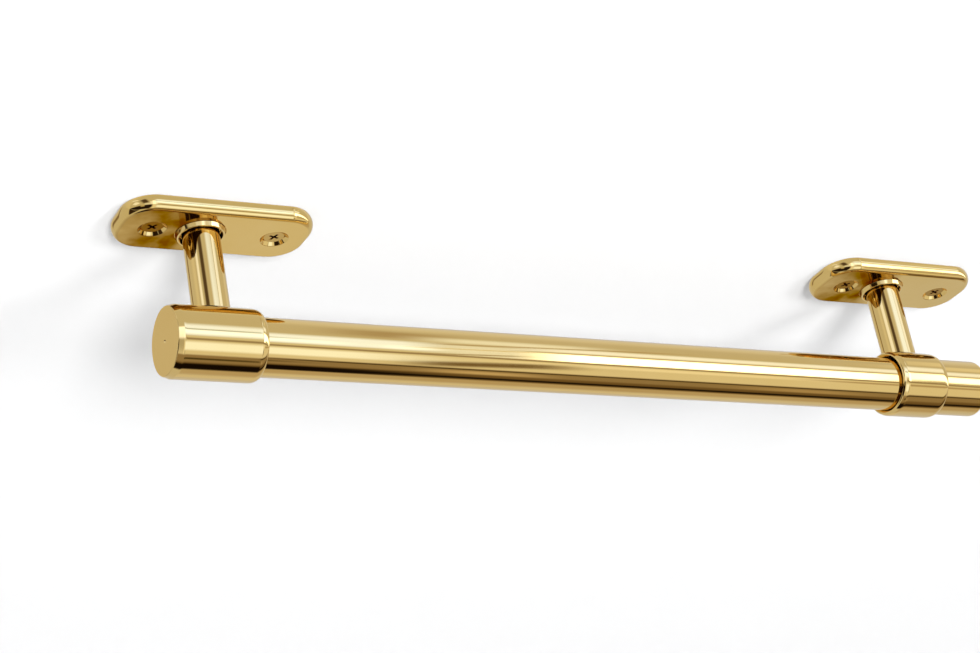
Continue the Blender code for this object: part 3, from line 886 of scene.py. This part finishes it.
def set_screw(side):
    """Headless screw along Y: hexagon socket, threaded body and a cone point, as one stack of rings."""
    node = f"{side}_set_screw"
    low, high = span(node)
    radius = (high[0] - low[0]) / 2
    tip, end = low[1], high[1]
    floor, cone = end - SET_HEX_DEPTH, tip + SET_POINT
    angles, hexagon_of = hexagon()
    around = np.ones_like(angles)
    rings = [
        (0 * around, floor * around),
        (hexagon_of(SET_HEX), floor * around),
        (hexagon_of(SET_HEX), (end - SET_HEX_BREAK) * around),
        (hexagon_of(SET_HEX) + SET_HEX_BREAK, end * around),
    ]
    rim = rounded(
        [(radius - 0.6 * MM, end), (radius - EDGE_BREAK, end), (radius, end - EDGE_BREAK)], [0, 0.05 * MM, 0], 3
    )
    rings += [(r * around, h * around) for r, h in rim]
    start = end - EDGE_BREAK - SET_RUN
    rings += list(zip(*thread(radius, SET_THREAD, SET_PITCH, start, cone + SET_RUN, angles)))
    rings += [(r * around, h * around) for r, h in ((radius, cone), (radius - SET_POINT, tip), (0, tip))]
    radii, heights = (np.stack(part) for part in zip(*rings))
    centre = ((low[0] + high[0]) / 2, 0, (low[2] + high[2]) / 2)
    rows = about("y", centre, radii, angles[None, :], heights)
    made = piece(f"{side}_grub_screw", [sheet_of(rows)], STEEL, node, "steel")
    return lathe_lines(made, "y", centre)


# Build


def bracket(side, name, direction):
    """All that hangs one end of the rod: plate, ring, stem, collar and their screws."""
    low, high = span(f"{side}_stem")
    stem_x = (low[0] + high[0]) / 2
    mount_plate(side, stem_x)
    stem_ring(side, stem_x)
    axis, radius = collar(side, name, stem_x, direction)
    stem(side, stem_x, axis, radius)
    for place, turn, head_darkening in SCREWS[side]:
        node = f"{side}_{place}_wood_screw"
        low, high = span(node)
        x = (low[0] + high[0]) / 2
        finish = {"material": SCREW_BRASS, "slot": "screw_brass"}
        seat = {"sink": HEAD_SINK, "turn": math.radians(turn)}
        screw = countersunk_screw(f"{side}_{place}_screw", node, x, **WOOD_SCREW, **seat, **finish)
        reach, _, deep = WOOD_SCREW["recess"]
        mark_screw_shade_dirt(screw, x, low[2] + HEAD_SINK, reach, deep, head_darkening)
    finish = {"material": STEEL, "slot": "steel"}
    countersunk_screw(f"{side}_tie_bolt", f"{side}_tie_screw", stem_x, **TIE_SCREW, sink=0.0, turn=0.0, **finish)
    set_screw(side)
    stud = frame["nodes"][f"{side}_plate_stud"]
    stud.data.materials.clear()
    stud.data.materials.append(STEEL)


bracket("left", "socket", -1)
bracket("right", "sleeve", 1)
rod()
cap()


# Studio

# Light that the brass mirrors, by roll about the rod (degrees, 0 back, 90 up, 180 front, 270 down) and by reach
# along X (-1 to 1): name, roll from, roll to, softness, reach from, softness, reach to, softness, slant (degrees of
# roll per reach, from MID_REACH on), tint, level.  Later cards cover earlier ones.
MID_REACH = 0.5
ROOM = ("#FFFFFF", 0.63)
CARDS = (
    ("ceiling_glow", 60, 95, 12, -1.5, 0.1, 1.5, 0.1, 0, "#FFFFFF", 0.74),
    ("back_flag", 8, 45, 8, -0.56, 0.03, -0.42, 0.03, 0, "#FFE6C0", 0.24),
    ("end_wall", 10, 45, 5, -0.42, 0.02, -0.25, 0.06, 0, "#FFF7DE", 0.64),
    ("plate_glow", 322, 340, 4, 0.2, 0.05, 0.6, 0.05, 0, "#FFFCF4", 0.71),
    ("upper_spot", 88, 116, 6, -0.70, 0.03, -0.61, 0.03, 0, "#CFDAFF", 1.70),
    ("upper_shade", 106, 137, 9, 0.432, 0.018, 0.468, 0.018, 0, "#FFF0DC", 0.47),
    ("right_glow", 113, 131, 5, 0.625, 0.02, 0.68, 0.02, 0, "#FFFFFF", 0.86),
    ("under_shade", 290, 318, 8, 0.35, 0.05, 1.5, 0.05, 0, "#FFF0DC", 0.52),
    ("dim_floor", 243, 294, 4, -0.25, 0.06, 0.93, 0.03, 0, "#FFE6C4", 0.31),
    ("middle_patch", 254, 267, 5, 0.468, 0.014, 0.503, 0.014, 0, "#FFEBD2", 0.62),
    ("right_patch", 254, 268, 4, 0.58, 0.012, 0.612, 0.012, 0, "#FFE6C4", 0.45),
    ("floor_shade", 268, 294, 5, -0.25, 0.06, 0.93, 0.03, 0, "#FFD9A2", 0.17),
    ("floor_edge", 245, 249.5, 2.5, 0.41, 0.02, 1.5, 0.02, 0, "#FFDE7F", 0.06),
    ("left_floor_edge", 253, 259, 2, 0.2, 0.02, 0.41, 0.02, 0, "#FFDE7F", 0.08),
    ("black_card", 280, 289.5, 4, -0.25, 0.06, 0.93, 0.03, 0, "#FFC890", 0.010),
    ("wide_black_card", 272.5, 295, 4, -0.25, 0.06, 0.458, 0.03, 0, "#FFC890", 0.008),
    ("lower_fill", 199, 242, 3.5, 0.2, 0.04, 1.5, 0.04, 0, "#FFFFFF", 0.80),
    ("lower_glow", 203, 213, 3, 0.49, 0.02, 0.612, 0.02, 0, "#F4F7FF", 1.10),
    ("right_line", 205, 212, 2.5, 0.60, 0.015, 1.5, 0.015, 0, "#FFF0DC", 0.50),
    ("lower_strip", 204, 229, 5, -0.02, 0.12, 0.462, 0.03, 0, "#CCDBFF", 1.92),
    ("brown_wedge", 212, 230, 6, 0.46, 0.014, 0.515, 0.014, -300, "#FFE0B0", 0.20),
    ("corner_softbox", 165, 196, 6, -0.34, 0.05, 0.06, 0.06, 0, "#D2DCFF", 1.65),
    ("rim_glow", 160, 193, 4, -0.21, 0.03, -0.05, 0.04, 0, "#CFDAFF", 2.60),
    ("rim_fill", 199, 242, 4, -0.19, 0.03, -0.04, 0.04, 0, "#FFFFFF", 0.92),
    ("corner_tail", 179, 195, 4, -0.62, 0.04, -0.32, 0.05, 0, "#DCE4FF", 1.20),
    ("left_softbox", 149.5, 185, 7, -0.02, 0.12, 0.468, 0.012, 0, "#B2C6FF", 2.55),
    ("left_gap", 163, 167, 1.5, -0.02, 0.12, 0.41, 0.02, 0, "#CCDBFF", 0.90),
    ("left_core", 168, 178, 3, -0.02, 0.12, 0.43, 0.012, 0, "#B7CBFF", 3.20),
    ("second_core", 168, 180, 3, 0.45, 0.008, 0.472, 0.008, 0, "#B7CBFF", 3.00),
    ("left_tail", 185, 192, 3, 0.05, 0.02, 0.47, 0.02, 0, "#FFFFFF", 0.78),
    ("pocket", 152, 192, 4, 0.468, 0.012, 0.508, 0.012, 0, "#CFDCFF", 1.55),
    ("pocket_line", 180, 184.5, 2, 0.448, 0.01, 0.502, 0.01, -300, "#FFF0DC", 0.45),
    ("second_line", 163, 166, 1.5, 0.46, 0.01, 0.51, 0.01, -150, "#FFF6E8", 0.80),
    ("upper_softbox", 140, 156, 5, 0.50, 0.015, 0.72, 0.015, 0, "#C2D1FF", 2.10),
    ("streak", 123, 143, 8, 0.465, 0.016, 0.525, 0.016, 0, "#CFDCFF", 1.60),
    ("streak_line", 141, 145.5, 2, 0.468, 0.01, 0.552, 0.01, -277, "#FFF0DC", 0.52),
    ("thin_line", 157.5, 161.5, 1.8, 0.50, 0.012, 1.5, 0.012, 0, "#FFF6E8", 0.62),
    ("main_softbox", 163.5, 193, 3, 0.508, 0.012, 0.625, 0.012, 0, "#DCE6FF", 4.50),
    ("right_softbox", 163.5, 187, 4, 0.625, 0.015, 1.5, 0.015, 0, "#DCE6FF", 4.00),
    ("gap_line", 193.5, 199, 2.2, 0.2, 0.05, 1.5, 0.05, 10, "#FFF0DC", 0.36),
    ("low_flag", 196, 247, 4, -1.5, 0.10, -0.24, 0.05, 0, "#FFC890", 0.02),
    ("far_low_flag", 250, 298, 5, -1.5, 0.10, -0.60, 0.05, 0, "#FFC890", 0.04),
    ("rear_panel", 192, 210, 4, -0.77, 0.03, -0.61, 0.03, 0, "#FFF7DE", 0.60),
    ("front_flag", 128, 174, 8, -0.68, 0.06, -0.42, 0.07, 0, "#FFDDBB", 0.10),
    ("left_strip", 116, 162, 8, -0.925, 0.03, -0.79, 0.03, 0, "#CFDAFF", 1.75),
)

# The stage, in metres: half its width, the floor's height and the backdrop's radius
STAGE_HALF = 8.0
FLOOR_Z = -5.5
BACKDROP_RADIUS = 14.0

# Soft lights on the stage: name, place, width, watts; and the point that they face
LIGHTS = (
    ("left_light", (-1.89, -8.30, -3.90), 2.3, 2700),
    ("right_light", (3.6, -8.2, -3.90), 2.4, 1280),
)
LIGHT_AIM = (0.2, 0.0, -0.03)


def lit(code, level):
    """Linear colour of a card: its tint at its level."""
    return tuple(level * c for c in linear(code)[:3]) + (1.0,)


def studio_world():
    """World seen in the brass: a pale room with soft boxes, strips and dark cards as soft-edged patches."""
    world = bpy.data.worlds.new("studio")
    bpy.context.scene.world = world
    world.use_nodes = True
    tree = world.node_tree
    way = add(tree, "ShaderNodeSeparateXYZ", {"Vector": add(tree, "ShaderNodeTexCoord").outputs["Generated"]})
    roll = add(tree, "ShaderNodeMath", {0: way.outputs["Z"], 1: way.outputs["Y"]}, operation="ARCTAN2")
    degrees = add(tree, "ShaderNodeMath", {0: roll.outputs["Value"]}, operation="DEGREES")
    wrapped = add(tree, "ShaderNodeMath", {0: degrees.outputs["Value"], 1: 360.0, 2: 0.0}, operation="WRAP")
    shown = lit(*ROOM)
    for name, roll_from, roll_to, roll_soft, reach_from, from_soft, reach_to, to_soft, slant, code, level in CARDS:
        roll = wrapped.outputs["Value"]
        if slant:
            level_reach = {0: way.outputs["X"], 1: -slant, 2: slant * MID_REACH}
            lean = add(tree, "ShaderNodeMath", level_reach, operation="MULTIPLY_ADD")
            roll = add(tree, "ShaderNodeMath", {0: roll, 1: lean.outputs["Value"]}, operation="ADD").outputs["Value"]
        mask = None
        for value, edge, soft in (
            (roll, roll_from, roll_soft),
            (roll, roll_to, -roll_soft),
            (way.outputs["X"], reach_from, from_soft),
            (way.outputs["X"], reach_to, -to_soft),
        ):
            look = {"Value": value, "From Min": edge - soft, "From Max": edge + soft}
            made = add(tree, "ShaderNodeMapRange", look, interpolation_type="SMOOTHSTEP", label=name)
            step = made.outputs["Result"]
            if mask is not None:
                step = add(tree, "ShaderNodeMath", {0: mask, 1: step}, operation="MULTIPLY").outputs["Value"]
            mask = step
        card = {"Factor": mask, "A": shown, "B": lit(code, level)}
        shown = add(tree, "ShaderNodeMix", card, data_type="RGBA").outputs["Result"]
    tree.links.new(shown, tree.nodes["Background"].inputs["Color"])


def stage_piece(name, points, faces, material):
    """Stage piece, hidden from mirrors so that the brass shows the studio instead."""
    mesh = bpy.data.meshes.new(name)
    mesh.from_pydata(points, [], faces)
    mesh.materials.append(material)
    obj = bpy.data.objects.new(name, mesh)
    bpy.context.scene.collection.objects.link(obj)
    obj.visible_glossy = False
    return obj


def stage_sheet(name, height, facing, material):
    """Level square sheet at a height, facing up (1) or down (-1)."""
    corners = [(-1, -1), (1, -1), (1, 1), (-1, 1)][::facing]
    points = [(STAGE_HALF * x, STAGE_HALF * y, height) for x, y in corners]
    stage_piece(name, points, [(0, 1, 2, 3)], material)


def backdrop(radius, material):
    """Ball of pale light behind everything, on a grid of turn and tilt, that only the camera sees."""
    tilt = np.linspace(-math.pi / 2, math.pi / 2, 25)[:, None]
    ball = about("z", (0, 0, 0), radius * np.cos(tilt), even_angles(48)[None, :], radius * np.sin(tilt))
    obj = stage_piece("backdrop", *sheet_of(ball), material)
    obj.visible_diffuse = obj.visible_shadow = False


def paint(name, code, glow, one_sided=False):
    """Matt white paint that glows a little, and where it is one-sided lets the eye pass from behind."""
    material, tree, shader = shader_of(name)
    shader.inputs["Base Color"].default_value = linear(code)
    shader.inputs["Roughness"].default_value = 0.9
    shader.inputs["Specular IOR Level"].default_value = 0.0
    shader.inputs["Emission Color"].default_value = (1, 1, 1, 1)
    shader.inputs["Emission Strength"].default_value = glow
    if one_sided:
        clear = add(tree, "ShaderNodeBsdfTransparent")
        behind = add(tree, "ShaderNodeNewGeometry").outputs["Backfacing"]
        both = add(tree, "ShaderNodeMixShader", {0: behind, 1: shader.outputs["BSDF"], 2: clear.outputs["BSDF"]})
        tree.links.new(both.outputs["Shader"], tree.nodes["Material Output"].inputs["Surface"])
    return material


def soft_light(name, place, size, power):
    """Square soft light that shades the painted stage only; the brass mirrors the studio world."""
    lamp = bpy.data.lights.new(name, "AREA")
    lamp.shape = "SQUARE"
    lamp.size = size
    lamp.energy = power
    obj = bpy.data.objects.new(name, lamp)
    obj.location = place
    obj.rotation_euler = (Vector(LIGHT_AIM) - Vector(place)).to_track_quat("-Z", "Y").to_euler()
    obj.visible_glossy = False
    bpy.context.scene.collection.objects.link(obj)


def studio():
    """Mounting surface above, pale floor below, a backdrop for low views and the soft lights."""
    studio_world()
    stage_sheet("shelf_underside", 0.0, -1, paint("shelf_paint", "#858585", 0.244, one_sided=True))
    stage_sheet("floor", FLOOR_Z, 1, paint("floor_paint", "#ECECEB", 0.42))
    backdrop(BACKDROP_RADIUS, paint("backdrop_glow", "#808080", 0.92))
    for light in LIGHTS:
        soft_light(*light)


def camera():
    """Camera at the photograph's place, turned by its forward and up directions."""
    data = bpy.data.cameras.new("camera")
    data.lens = CAMERA_LENS
    data.sensor_width = CAMERA_SENSOR
    data.sensor_fit = "HORIZONTAL"
    obj = bpy.data.objects.new("camera", data)
    forward = Vector(CAMERA_FORWARD).normalized()
    right = forward.cross(Vector(CAMERA_UP)).normalized()
    up = right.cross(forward)
    turn = Matrix((right, up, -forward)).transposed()
    obj.matrix_world = Matrix.Translation(CAMERA_PLACE) @ turn.to_4x4()
    bpy.context.scene.collection.objects.link(obj)
    bpy.context.scene.camera = obj


studio()
camera()
bpy.context.scene.view_settings.view_transform = "Standard"
